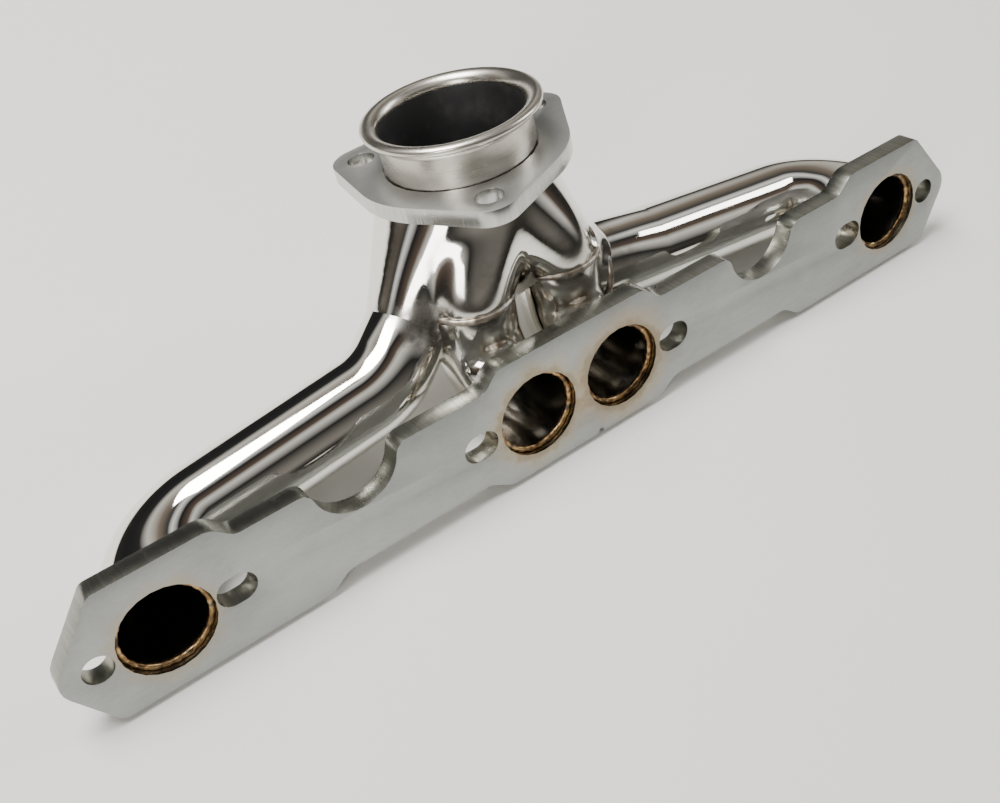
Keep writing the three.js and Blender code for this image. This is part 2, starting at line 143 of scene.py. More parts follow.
class Bench:
    """Short names for the operators that shape every piece."""

    @staticmethod
    def clear() -> None:
        """Leaves edit mode and deselects everything."""
        if bpy.context.object is not None and bpy.context.object.mode != "OBJECT":
            bpy.ops.object.mode_set(mode="OBJECT")
        bpy.ops.object.select_all(action="DESELECT")

    @classmethod
    def only(cls, obj: bpy.types.Object) -> None:
        """Selects one object and makes it active.

        Args:
            obj: the object to work on.
        """
        cls.clear()
        obj.select_set(True)
        bpy.context.view_layer.objects.active = obj

    @classmethod
    def modify(cls, obj: bpy.types.Object, kind: str, **settings: object) -> None:
        """Adds a modifier and applies it.

        Args:
            obj: the object to change.
            kind: the modifier's type.
            settings: its properties.
        """
        cls.only(obj)
        modifier = obj.modifiers.new(kind.title(), kind)
        for name, value in settings.items():
            setattr(modifier, name, value)
        bpy.ops.object.modifier_apply(modifier=modifier.name)

    @classmethod
    def settle(cls, obj: bpy.types.Object, smooth_degrees: float = 32.0) -> None:
        """Moves the object's place into its mesh and smooths its shading.

        Args:
            obj: the finished object.
            smooth_degrees: edges sharper than this stay crisp.
        """
        cls.only(obj)
        bpy.ops.object.transform_apply(location=True, rotation=True, scale=True)
        bpy.ops.object.shade_smooth_by_angle(angle=math.radians(smooth_degrees))

    @classmethod
    def edit(cls, obj: bpy.types.Object, mode: str = "VERT") -> None:
        """Enters edit mode on one object with nothing selected.

        Args:
            obj: the object to edit.
            mode: VERT, EDGE or FACE.
        """
        cls.only(obj)
        bpy.ops.object.mode_set(mode="EDIT")
        bpy.ops.mesh.select_mode(type=mode)
        bpy.ops.mesh.select_all(action="DESELECT")

    @staticmethod
    def pick_faces(obj: bpy.types.Object, test: Callable[[Vector], bool]) -> None:
        """Selects the faces whose centres pass a test, from object mode or edit mode.

        Args:
            obj: the object being edited.
            test: takes a face's centre and says whether it is wanted.
        """
        bpy.ops.object.mode_set(mode="OBJECT")
        for face in obj.data.polygons:
            face.select = test(face.center)
        bpy.ops.object.mode_set(mode="EDIT")

    @classmethod
    def ring(cls, name: str, centre: Vector, along: Vector, radius: float,
             sides: int) -> bpy.types.Object:
        """Adds a circle square to a direction and stays in edit mode with it selected.

        Args:
            name: the new object's name.
            centre: the circle's centre in metres.
            along: the direction that it faces.
            radius: metres.
            sides: number of vertices.

        Returns:
            The new object.
        """
        cls.clear()
        bpy.ops.mesh.primitive_circle_add(
            vertices=sides, radius=radius, fill_type="NOTHING", location=centre,
            rotation=along.to_track_quat("Z", "Y").to_euler())
        obj = bpy.context.object
        obj.name = name
        bpy.ops.object.transform_apply(location=True, rotation=True, scale=True)
        bpy.ops.object.mode_set(mode="EDIT")
        bpy.ops.mesh.select_mode(type="VERT")
        bpy.ops.mesh.select_all(action="SELECT")
        return obj

    @staticmethod
    def draw(move: Vector) -> None:
        """Extrudes the selected ring by a vector.

        Args:
            move: metres.
        """
        bpy.ops.mesh.extrude_region_move(TRANSFORM_OT_translate={"value": move})

    @staticmethod
    def scale(factor: float, centre: Vector) -> None:
        """Scales the selection about a point.

        Args:
            factor: the same along every axis.
            centre: metres.
        """
        bpy.ops.transform.resize(value=(factor,) * 3, center_override=centre)

    @classmethod
    def face_outwards(cls, obj: bpy.types.Object, inside: Vector) -> None:
        """Makes an open shell's faces point away from a point inside its first ring.

        Args:
            obj: the shell.
            inside: a point on the shell's axis, near its first face.
        """
        cls.edit(obj)
        bpy.ops.mesh.select_all(action="SELECT")
        bpy.ops.mesh.remove_doubles(threshold=1e-6)
        bpy.ops.mesh.normals_make_consistent(inside=False)
        bpy.ops.object.mode_set(mode="OBJECT")
        near = min(obj.data.polygons, key=lambda f: (f.center - inside).length)
        if near.normal.dot(near.center - inside) < 0:
            bpy.ops.object.mode_set(mode="EDIT")
            bpy.ops.mesh.select_all(action="SELECT")
            bpy.ops.mesh.flip_normals()
            bpy.ops.object.mode_set(mode="OBJECT")

    @classmethod
    def line(cls, obj: bpy.types.Object, skin: bpy.types.Material, lining: bpy.types.Material,
             wall: float) -> None:
        """Gives an open shell a wall whose inner side has its own finish.

        Args:
            obj: the shell.
            skin: the outer finish.
            lining: the inner finish.
            wall: the wall's thickness in millimetres.
        """
        obj.data.materials.clear()
        obj.data.materials.append(skin)
        obj.data.materials.append(lining)
        cls.modify(obj, "SOLIDIFY", thickness=wall * MM, offset=-1.0, use_even_offset=True,
                   material_offset=1)

    @classmethod
    def turned(cls, name: str, place: Matrix, profile: Sequence[tuple[float, float]],
               sides: int) -> bpy.types.Object:
        """Draws a ring through a profile, closing it when the profile returns to its start.

        Args:
            name: the new object's name.
            place: the frame whose Z axis is the turning axis.
            profile: (radius, height) pairs in millimetres.
            sides: number of vertices in each ring.

        Returns:
            The new object.
        """
        def at(height: float) -> Vector:
            """The point of the turning axis at a height in millimetres."""
            return place @ Vector((0, 0, height * MM))

        axis = (place.to_3x3() @ Vector((0, 0, 1))).normalized()
        radius, height = profile[0]
        obj = cls.ring(name, at(height), axis, radius * MM, sides)
        for next_radius, next_height in profile[1:]:
            cls.draw(at(next_height) - at(height))
            cls.scale(next_radius / radius, at(next_height))
            radius, height = next_radius, next_height
        cls.clear()
        return obj


# ---- centrelines ----------------------------------------------------------------------------


@dataclass(frozen=True)
class Bend:
    """One rounded corner of a tube: where it starts and ends, and the arc between."""

    enter: Vector
    leave: Vector
    centre: Vector
    axis: Vector
    angle: float


@dataclass(frozen=True)
class TubePath:
    """A primary tube's centreline in metres."""

    points: tuple[Vector, ...]
    radii: tuple[float, ...]

    @property
    def start_way(self) -> Vector:
        """The direction of the first run."""
        return (self.points[1] - self.points[0]).normalized()

    @property
    def end_way(self) -> Vector:
        """The direction of the last run."""
        return (self.points[-1] - self.points[-2]).normalized()

    def bends(self) -> list[Bend]:
        """Rounds each corner.

        Returns:
            One Bend per inner point.
        """
        found = []
        for before, corner, after, radius in zip(
                self.points, self.points[1:], self.points[2:], self.radii):
            back = (before - corner).normalized()
            ahead = (after - corner).normalized()
            half = back.angle(ahead) / 2
            run = radius / math.tan(half)
            centre = corner + (back + ahead).normalized() * (radius / math.sin(half))
            found.append(Bend(corner + back * run, corner + ahead * run, centre,
                              (-back).cross(ahead).normalized(), math.pi - 2 * half))
        return found


class Routing:
    """The corners of the four primary tubes."""

    PORT_X = {Run.OUTER: 199.9, Run.INNER: 23.6}
    TUBE_RADIUS = 19.7
    TUBE_WALL = 1.6
    START_Y = 4.6
    OUTER_BEND = (199.9, 49.4, 0.0)
    OUTER_RADII = (38.5, 42.0)
    OUTER_SWEEP = {Side.RIGHT: (80.0, 46.7, 17.6), Side.LEFT: (72.0, 46.6, 18.6)}
    OUTER_END = {Side.RIGHT: (42.6, 46.3, 24.6), Side.LEFT: (45.5, 57.9, 34.9)}
    INNER_CORNER = (23.6, 41.5, 0.0)
    INNER_END = (23.6, 41.5, 42.0)
    INNER_RADIUS = 27.0

    @classmethod
    def path(cls, layout: Layout, run: Run, side: Side) -> TubePath:
        """The centreline of one tube.

        Args:
            layout: the model's frames.
            run: outer or inner.
            side: left or right.

        Returns:
            The path in metres.
        """
        if run is Run.OUTER:
            corners = [cls.OUTER_BEND, cls.OUTER_SWEEP[side], cls.OUTER_END[side]]
            radii = cls.OUTER_RADII
        else:
            corners = [cls.INNER_CORNER, cls.INNER_END]
            radii = (cls.INNER_RADIUS,)
        start = (cls.PORT_X[run], cls.START_Y, 0.0)
        points = [layout.point((x * side.value, y, z)) for x, y, z in (start, *corners)]
        return TubePath(tuple(points), tuple(r * MM for r in radii))


# ---- shader groups --------------------------------------------------------------------------


class NodeTree:
    """A thin wrapper that adds and links shader nodes."""

    def __init__(self, tree: bpy.types.NodeTree) -> None:
        """Wraps a node tree.

        Args:
            tree: a material's or a group's tree.
        """
        self.tree = tree

    def add(self, kind: str, inputs: dict | None = None, **settings: object) -> bpy.types.Node:
        """Adds a node.

        Args:
            kind: the node's type, without the ShaderNode prefix.
            inputs: values or sockets for its inputs, by name or number.
            settings: the node's own properties.

        Returns:
            The node.
        """
        node = self.tree.nodes.new("ShaderNode" + kind)
        for name, value in settings.items():
            setattr(node, name, value)
        for key, value in (inputs or {}).items():
            if isinstance(value, bpy.types.NodeSocket):
                self.tree.links.new(value, node.inputs[key])
            else:
                node.inputs[key].default_value = value
        return node

    def math(self, operation: str, a: object, b: object = 0.0,
             clamp: bool = False) -> bpy.types.NodeSocket:
        """Adds a Math node and returns its result.

        Args:
            operation: the node's operation.
            a: first value or socket.
            b: second value or socket.
            clamp: keeps the result between 0 and 1.

        Returns:
            The result socket.
        """
        return self.add("Math", {0: a, 1: b}, operation=operation, use_clamp=clamp).outputs[0]

    def fade(self, value: object, low: float, high: float) -> bpy.types.NodeSocket:
        """A smooth step from 0 at low to 1 at high.

        Args:
            value: the socket to read.
            low: where the step starts.
            high: where it ends.

        Returns:
            The result socket.
        """
        node = self.add("MapRange", {"Value": value, "From Min": low, "From Max": high},
                        interpolation_type="SMOOTHSTEP")
        return node.outputs["Result"]

    def mix(self, factor: object, a: object, b: object) -> bpy.types.NodeSocket:
        """Blends two colours.

        Args:
            factor: 0 for a, 1 for b.
            a: first colour or socket.
            b: second colour or socket.

        Returns:
            The colour socket.
        """
        node = self.add("Mix", data_type="RGBA")
        for index, value in ((0, factor), (6, a), (7, b)):
            if isinstance(value, bpy.types.NodeSocket):
                self.tree.links.new(value, node.inputs[index])
            else:
                node.inputs[index].default_value = value
        return node.outputs[2]

    def noise(self, vector: object, scale: float, detail: float = 3.0,
              roughness: float = 0.55) -> bpy.types.NodeSocket:
        """Adds a Noise texture and returns its value.

        Args:
            vector: the coordinates' socket.
            scale: the texture's scale.
            detail: number of octaves.
            roughness: how strong the fine octaves are.

        Returns:
            The value socket.
        """
        return self.add("TexNoise", {"Vector": vector, "Scale": scale, "Detail": detail,
                                     "Roughness": roughness}).outputs[0]


class EffectGroups:
    """The shared effects: each is one node group that outputs masks and normals only."""

    def __init__(self) -> None:
        """Builds the groups."""
        self.grain = self._grain()
        self.smudges = self._smudges()
        self.halo = self._halo()

    @staticmethod
    def _start(name: str, takes: Iterable[tuple[str, str, float]],
               gives: Iterable[tuple[str, str]]) -> tuple[NodeTree, bpy.types.Node, bpy.types.Node]:
        """Makes an empty group.

        Args:
            name: the group's name.
            takes: (name, socket type, default) for each input.
            gives: (name, socket type) for each output.

        Returns:
            The tree, its input node and its output node.
        """
        group = bpy.data.node_groups.new(name, "ShaderNodeTree")
        for label, kind, default in takes:
            socket = group.interface.new_socket(label, in_out="INPUT", socket_type=kind)
            if kind == "NodeSocketFloat":
                socket.default_value = default
        for label, kind in gives:
            group.interface.new_socket(label, in_out="OUTPUT", socket_type=kind)
        tree = NodeTree(group)
        return tree, group.nodes.new("NodeGroupInput"), group.nodes.new("NodeGroupOutput")

    def _grain(self) -> bpy.types.NodeTree:
        """Directional brush marks: coordinates are squeezed across the marks.

        Returns:
            The group, with a Mask and a Normal.
        """
        tree, takes, gives = self._start(
            "BrushGrain",
            [("Vector", "NodeSocketVector", 0.0), ("Fineness", "NodeSocketFloat", 900.0),
             ("Strength", "NodeSocketFloat", 0.2)],
            [("Mask", "NodeSocketFloat"), ("Normal", "NodeSocketVector")])
        fine = tree.add("TexNoise", {"Vector": takes.outputs["Vector"],
                                     "Scale": takes.outputs["Fineness"], "Detail": 4.0,
                                     "Roughness": 0.7}).outputs[0]
        coarse = tree.add("TexNoise", {
            "Vector": takes.outputs["Vector"],
            "Scale": tree.math("MULTIPLY", takes.outputs["Fineness"], 0.22),
            "Detail": 2.0}).outputs[0]
        both = tree.math("ADD", tree.math("MULTIPLY", fine, 0.65),
                         tree.math("MULTIPLY", coarse, 0.35))
        bump = tree.add("Bump", {"Strength": takes.outputs["Strength"], "Distance": 0.0002,
                                 "Height": both})
        tree.tree.links.new(both, gives.inputs["Mask"])
        tree.tree.links.new(bump.outputs[0], gives.inputs["Normal"])
        return tree.tree

    def _smudges(self) -> bpy.types.NodeTree:
        """Finger marks and wiped film on polished metal, with a faint waviness.

        Returns:
            The group, with a Mask and a Normal.
        """
        tree, takes, gives = self._start(
            "PolishSmudges",
            [("Vector", "NodeSocketVector", 0.0), ("Waviness", "NodeSocketFloat", 0.25)],
            [("Mask", "NodeSocketFloat"), ("Normal", "NodeSocketVector")])
        film = tree.fade(tree.noise(takes.outputs["Vector"], 38.0, 6.0, 0.62), 0.45, 0.75)
        marks = tree.fade(tree.noise(takes.outputs["Vector"], 170.0, 5.0, 0.7), 0.55, 0.8)
        mask = tree.math("ADD", tree.math("MULTIPLY", film, 0.6),
                         tree.math("MULTIPLY", marks, 0.4), clamp=True)
        wave = tree.noise(takes.outputs["Vector"], 26.0, 1.0, 0.4)
        bump = tree.add("Bump", {"Strength": takes.outputs["Waviness"], "Distance": 0.0022,
                                 "Height": wave})
        tree.tree.links.new(mask, gives.inputs["Mask"])
        tree.tree.links.new(bump.outputs[0], gives.inputs["Normal"])
        return tree.tree

    def _halo(self) -> bpy.types.NodeTree:
        """A ragged blot around a point, for heat tint, soot, stains and painted shade.

        Returns:
            The group, with a Mask.
        """
        tree, takes, gives = self._start(
            "RaggedHalo",
            [("Vector", "NodeSocketVector", 0.0), ("Centre", "NodeSocketVector", 0.0),
             ("Inner", "NodeSocketFloat", 0.02), ("Outer", "NodeSocketFloat", 0.03)],
            [("Mask", "NodeSocketFloat")])
        reach = tree.add("VectorMath", {0: takes.outputs["Vector"], 1: takes.outputs["Centre"]},
                         operation="DISTANCE").outputs["Value"]
        ragged = tree.math("SUBTRACT", tree.noise(takes.outputs["Vector"], 130.0, 5.0, 0.6), 0.5)
        distance = tree.math("ADD", reach, tree.math("MULTIPLY", ragged, 0.016))
        node = tree.add("MapRange", {"Value": distance, "From Min": takes.outputs["Outer"],
                                     "From Max": takes.outputs["Inner"]},
                        interpolation_type="SMOOTHSTEP")
        tree.tree.links.new(node.outputs["Result"], gives.inputs["Mask"])
        return tree.tree


# ---- finishes -------------------------------------------------------------------------------


@dataclass(frozen=True)
class Blot:
    """A ragged patch: heat tint, soot, or painted shade in a crease."""

    centre: Vector
    inner: float
    outer: float
    tone: tuple[float, float, float, float]
    strength: float = 1.0
    dulls: float = 0.3


@dataclass(frozen=True)
class Polished:
    """Mirror-polished stainless tube."""

    name: str
    tone: tuple[float, float, float, float] = (0.84, 0.82, 0.77, 1.0)
    roughness: float = 0.05
    waviness: float = 0.09
    blots: tuple[Blot, ...] = ()

    def build(self, groups: EffectGroups) -> bpy.types.Material:
        """Makes the material.

        Args:
            groups: the shared effects.

        Returns:
            The material.
        """
        material, tree, place = start_material(self.name)
        smudge = tree.add("Group", {"Vector": place}, node_tree=groups.smudges)
        smudge.inputs["Waviness"].default_value = self.waviness
        tone = tree.mix(tree.math("MULTIPLY", smudge.outputs["Mask"], 0.3), self.tone,
                        (0.62, 0.58, 0.51, 1.0))
        rough = tree.math("ADD", tree.math("MULTIPLY", smudge.outputs["Mask"], 0.09),
                          self.roughness)
        tone, rough = add_blots(tree, groups, place, self.blots, tone, rough)
        finish_material(tree, tone, rough, smudge.outputs["Normal"])
        return material


@dataclass(frozen=True)
class Plate:
    """Laser-cut plate: satin faces with fine grain, striated darker edges, painted edge highlights.
    """

    name: str
    axis: Vector
    grain_turn: Matrix
    tone: tuple[float, float, float, float] = (0.345, 0.355, 0.35, 1.0)
    edge_tone: tuple[float, float, float, float] = (0.30, 0.305, 0.27, 1.0)
    edge_dark: tuple[float, float, float, float] = (0.17, 0.17, 0.145, 1.0)
    roughness: float = 0.42
    blots: tuple[Blot, ...] = ()

    def build(self, groups: EffectGroups) -> bpy.types.Material:
        """Makes the material.

        Args:
            groups: the shared effects.

        Returns:
            The material.
        """
        material, tree, place = start_material(self.name)
        turned = turned_to(tree, place, self.grain_turn)
        grain = tree.add("Group", {"Vector": stretched(tree, turned, (0.35, 1, 1)),
                                   "Fineness": 1500.0, "Strength": 0.16},
                         node_tree=groups.grain)
        cut = tree.add("Group", {"Vector": stretched(tree, turned, (1, 1, 0.05)),
                                 "Fineness": 1300.0, "Strength": 0.5},
                       node_tree=groups.grain)
        way = tree.add("NewGeometry").outputs["Normal"]
        facing = tree.math("ABSOLUTE", tree.add(
            "VectorMath", {0: way, 1: tuple(self.axis)}, operation="DOT_PRODUCT").outputs["Value"])
        face = tree.fade(facing, 0.25, 0.6)
        # Mask of the broken edges between face and wall, which get a painted highlight.
        painted_rim_highlight = tree.math("MULTIPLY", tree.fade(facing, 0.35, 0.62), tree.fade(facing, 0.97, 0.8))
        mottle = tree.fade(tree.noise(place, 22.0, 5.0, 0.6), 0.3, 0.7)
        flat = tree.mix(tree.math("MULTIPLY", mottle, 0.5), self.tone,
                        tuple(c * 0.87 for c in self.tone[:3]) + (1.0,))
        fleck = tree.fade(grain.outputs["Mask"], 0.35, 0.65)
        flat = tree.mix(tree.math("MULTIPLY", fleck, 0.28), flat,
                        tuple(min(1.0, c * 1.3) for c in self.tone[:3]) + (1.0,))
        wall = tree.mix(tree.fade(cut.outputs["Mask"], 0.25, 0.8), self.edge_tone,
                        self.edge_dark)
        tone = tree.mix(face, wall, flat)
        # Painted highlight: the broken edges are lightened towards pale grey.
        tone = tree.mix(tree.math("MULTIPLY", painted_rim_highlight, 0.75), tone, (0.82, 0.82, 0.80, 1.0))
        rough = tree.math("ADD", self.roughness, tree.math("MULTIPLY", mottle, 0.06))
        rough = tree.math("SUBTRACT", rough, tree.math(
            "MULTIPLY", tree.math("SUBTRACT", 1.0, face), 0.17))
        tone, rough = add_blots(tree, groups, place, self.blots, tone, rough)
        normal = tree.add("Mix", {0: face}, data_type="VECTOR")
        tree.tree.links.new(cut.outputs["Normal"], normal.inputs[4])
        tree.tree.links.new(grain.outputs["Normal"], normal.inputs[5])
        finish_material(tree, tone, rough, normal.outputs[1])
        return material


@dataclass(frozen=True)
class Brushed:
    """Turned or belt-finished stainless with marks running round its axis."""

    name: str
    turn: Matrix
    tone: tuple[float, float, float, float] = (0.63, 0.60, 0.54, 1.0)
    roughness: float = 0.22
    blots: tuple[Blot, ...] = ()

    def build(self, groups: EffectGroups) -> bpy.types.Material:
        """Makes the material.

        Args:
            groups: the shared effects.

        Returns:
            The material.
        """
        material, tree, place = start_material(self.name)
        turned = turned_to(tree, place, self.turn)
        grain = tree.add("Group", {"Vector": stretched(tree, turned, (0.06, 0.06, 1)),
                                   "Fineness": 1400.0, "Strength": 0.25},
                         node_tree=groups.grain)
        film = tree.fade(tree.noise(place, 55.0, 5.0, 0.6), 0.35, 0.7)
        tone = tree.mix(tree.math("MULTIPLY", film, 0.45), self.tone, (0.47, 0.44, 0.39, 1.0))
        rough = tree.math("ADD", self.roughness, tree.math("MULTIPLY", grain.outputs["Mask"], 0.12))
        tone, rough = add_blots(tree, groups, place, self.blots, tone, rough)
        finish_material(tree, tone, rough, grain.outputs["Normal"])
        return material


@dataclass(frozen=True)
class Weld:
    """A weld bead whose colour wanders through heat tints."""

    name: str
    tones: tuple[tuple[float, float, float, float], ...]
    roughness: float = 0.3

    def build(self, groups: EffectGroups) -> bpy.types.Material:
        """Makes the material.

        Args:
            groups: the shared effects.

        Returns:
            The material.
        """
        material, tree, place = start_material(self.name)
        wander = tree.noise(place, 160.0, 4.0, 0.6)
        ramp = tree.add("ValToRGB", {"Fac": wander})
        stops = ramp.color_ramp.elements
        stops[0].position, stops[0].color = 0.34, self.tones[0]
        stops[1].position, stops[1].color = 0.68, self.tones[-1]
        for index, tone in enumerate(self.tones[1:-1], start=1):
            stop = stops.new(0.34 + 0.34 * index / (len(self.tones) - 1))
            stop.color = tone
        grain = tree.add("Group", {"Vector": place, "Fineness": 1100.0, "Strength": 0.35},
                         node_tree=groups.grain)
        rough = tree.math("ADD", self.roughness, tree.math("MULTIPLY", grain.outputs["Mask"], 0.2))
        finish_material(tree, ramp.outputs[0], rough, grain.outputs["Normal"], 0.95)
        return material


def start_material(name: str) -> tuple[bpy.types.Material, NodeTree, bpy.types.NodeSocket]:
    """Makes an empty node material.

    Args:
        name: the material's name.

    Returns:
        The material, its tree and the Object coordinates' socket.
    """
    material = bpy.data.materials.new(name)
    material.use_nodes = True
    material.node_tree.nodes.clear()
    tree = NodeTree(material.node_tree)
    return material, tree, tree.add("TexCoord").outputs["Object"]


def turned_to(tree: NodeTree, vector: bpy.types.NodeSocket,
              turn: Matrix) -> bpy.types.NodeSocket:
    """Reads coordinates in a turned frame.

    Args:
        tree: where the node goes.
        vector: the coordinates.
        turn: the frame's rotation.

    Returns:
        The coordinates along the frame's own axes.
    """
    node = tree.add("Mapping", {"Vector": vector}, vector_type="TEXTURE")
    node.inputs["Rotation"].default_value = turn.to_euler()
    return node.outputs[0]


def stretched(tree: NodeTree, vector: bpy.types.NodeSocket,
              by: tuple[float, float, float]) -> bpy.types.NodeSocket:
    """Scales coordinates along their axes.

    Args:
        tree: where the node goes.
        vector: the coordinates.
        by: factor along each axis: a small one draws the pattern out.

    Returns:
        The scaled coordinates.
    """
    return tree.add("VectorMath", {0: vector, 1: by}, operation="MULTIPLY").outputs[0]


def add_blots(tree: NodeTree, groups: EffectGroups, place: bpy.types.NodeSocket,
              blots: Iterable[Blot], tone: bpy.types.NodeSocket,
              rough: bpy.types.NodeSocket) -> tuple[bpy.types.NodeSocket, bpy.types.NodeSocket]:
    """Lays ragged patches over a finish.

    Args:
        tree: the material's tree.
        groups: the shared effects.
        place: the Object coordinates.
        blots: the patches.
        tone: the colour so far.
        rough: the roughness so far.

    Returns:
        The new colour and roughness.
    """
    for blot in blots:
        halo = tree.add("Group", {"Vector": place}, node_tree=groups.halo)
        halo.inputs["Centre"].default_value = blot.centre
        halo.inputs["Inner"].default_value = blot.inner
        halo.inputs["Outer"].default_value = blot.outer
        mask = tree.math("MULTIPLY", halo.outputs["Mask"], blot.strength)
        tone = tree.mix(mask, tone, blot.tone)
        rough = tree.math("ADD", rough, tree.math("MULTIPLY", mask, blot.dulls))
    return tone, rough


def finish_material(tree: NodeTree, tone: bpy.types.NodeSocket, rough: bpy.types.NodeSocket,
                    normal: bpy.types.NodeSocket, metallic: float = BARE_METAL) -> None:
    """Adds the surface shader and the output.

    Args:
        tree: the material's tree.
        tone: base colour.
        rough: roughness.
        normal: bumped normal.
        metallic: the shader's metallic value.
    """
    shader = tree.add("BsdfPrincipled", {"Base Color": tone, "Roughness": rough,
                                         "Normal": normal, "Metallic": metallic})
    tree.add("OutputMaterial", {"Surface": shader.outputs[0]})


# ---- pieces ---------------------------------------------------------------------------------


@dataclass
class SubAssembly:
    """A group of pieces that share frames and effects."""

    layout: Layout
    groups: EffectGroups
    pieces: list[bpy.types.Object] = field(default_factory=list)

    def keep(self, obj: bpy.types.Object, material: bpy.types.Material | None, body: str,
             slot: str, *nodes: str) -> bpy.types.Object:
        """Finishes a piece: its material, its body and the CAD nodes that it stands for.

        Args:
            obj: the finished piece.
            material: its material, or None where the piece has its materials already.
            body: the CAD body that it rides on.
            slot: the record's material slot; not used.
            nodes: the CAD nodes that it replaces.

        Returns:
            The same piece.
        """
        if material is not None:
            obj.data.materials.clear()
            obj.data.materials.append(material)
        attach(obj, body)
        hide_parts(*nodes)
        self.pieces.append(obj)
        LOG.info("%s: %d faces", obj.name, len(obj.data.polygons))
        return obj


@dataclass
class CutPlate(SubAssembly):
    """A laser-cut plate: the frame's own outline with its edges broken."""

    def finish_plate(self, node: str, name: str, bevel: float) -> bpy.types.Object:
        """Copies a CAD plate, merges its flat faces and breaks its edges.

        Args:
            node: the CAD node.
            name: the new piece's name.
            bevel: the width of the broken edge in millimetres.

        Returns:
            The new piece.
        """
        source = frame["nodes"][node]
        Bench.clear()
        plate = bpy.data.objects.new(name, source.data.copy())
        bpy.context.scene.collection.objects.link(plate)
        Bench.edit(plate)
        bpy.ops.mesh.select_all(action="SELECT")
        bpy.ops.mesh.remove_doubles(threshold=2e-6)
        bpy.ops.mesh.dissolve_limited(angle_limit=math.radians(0.6))
        bpy.ops.object.mode_set(mode="OBJECT")
        Bench.modify(plate, "BEVEL", width=bevel * MM, segments=3, limit_method="ANGLE",
                     angle_limit=math.radians(50), harden_normals=False)
        Bench.modify(plate, "TRIANGULATE")
        Bench.settle(plate, 25.0)
        return plate


@dataclass
class HeadFlange(CutPlate):
    """The plate that bolts to the cylinder head."""

    # Each heat tint: x, inner and outer radius, tone and strength.
    TINTS = (
        (-23.6, 19.0, 31.0, (0.42, 0.33, 0.19, 1.0), 0.55),
        (23.6, 19.0, 34.0, (0.40, 0.30, 0.17, 1.0), 0.65),
        (-23.6, 20.0, 24.5, (0.22, 0.17, 0.11, 1.0), 0.55),
        (23.6, 20.0, 25.5, (0.20, 0.16, 0.11, 1.0), 0.6),
        (-199.9, 19.0, 27.0, (0.38, 0.31, 0.20, 1.0), 0.5),
        (199.9, 19.0, 27.0, (0.38, 0.31, 0.20, 1.0), 0.5))
    TINT_SHINE = -0.05
    NICK = (7.5, 0.0, -28.0)

    def build(self) -> None:
        """Makes the head flange and its heat tint."""
        tint = [Blot(self.layout.point((x, 0.0, 0.0)), inner * MM, outer * MM, tone, strength,
                     self.TINT_SHINE)
                for x, inner, outer, tone, strength in self.TINTS]
        tint.append(Blot(self.layout.point(self.NICK), 0.3 * MM, 2.2 * MM,
                         (0.05, 0.04, 0.03, 1.0), 0.9, 0.2))
        finish = Plate("plate_steel", self.layout.direction((0, 1, 0)),
                       self.layout.flange.to_3x3() @ Matrix.Rotation(math.pi / 2, 3, "X"),
                       blots=tuple(tint))
        plate = self.finish_plate("head_flange", "head_flange_plate", 0.45)
        self.keep(plate, finish.build(self.groups), MANIFOLD, "plate_steel", "head_flange")


@dataclass
class LooseFlange(CutPlate):
    """The three-bolt flange that swivels on the neck."""

    def build(self) -> None:
        """Makes the loose flange."""
        finish = Plate("flange_steel", self.layout.outlet_axis, self.layout.outlet.to_3x3(),
                       tone=(0.60, 0.605, 0.595, 1.0), edge_tone=(0.62, 0.62, 0.60, 1.0),
                       edge_dark=(0.40, 0.40, 0.38, 1.0), roughness=0.36)
        plate = self.finish_plate("outlet_flange", "outlet_flange_plate", 0.7)
        self.keep(plate, finish.build(self.groups), LOOSE, "flange_steel", "outlet_flange")


@dataclass
class PrimaryTube(SubAssembly):
    """One mirror-polished primary tube."""

    run: Run = Run.OUTER
    side: Side = Side.LEFT
    finish: bpy.types.Material | None = None
    bore: bpy.types.Material | None = None

    SIDES = 72
    STEPS_PER_BEND = 26

    def build(self) -> None:
        """Draws a ring along the centreline and gives it a wall."""
        path = Routing.path(self.layout, self.run, self.side)
        start = path.points[0]
        tube = Bench.ring(f"{self.run.value}_primary_{self.side.label}", start, path.start_way,
                          Routing.TUBE_RADIUS * MM, self.SIDES)
        at = start
        for bend in path.bends():
            Bench.draw(bend.enter - at)
            bpy.ops.mesh.spin(steps=self.STEPS_PER_BEND, angle=-bend.angle, center=bend.centre,
                              axis=bend.axis)
            at = bend.leave
        Bench.draw(path.points[-1] - at)
        Bench.face_outwards(tube, start)
        wanted = path.points[-1]
        reach = min((v.co - wanted).length for v in tube.data.vertices)
        LOG.info("%s ends %.2f mm from its ring", tube.name, reach / MM)
        Bench.line(tube, self.finish, self.bore, Routing.TUBE_WALL)
        Bench.modify(tube, "BEVEL", width=0.25 * MM, segments=2, limit_method="ANGLE",
                     angle_limit=math.radians(60))
        Bench.settle(tube, 40.0)
        self.keep(tube, None, MANIFOLD, "polished_stainless",
                  f"{self.run.value}_tube_{self.side.label}")


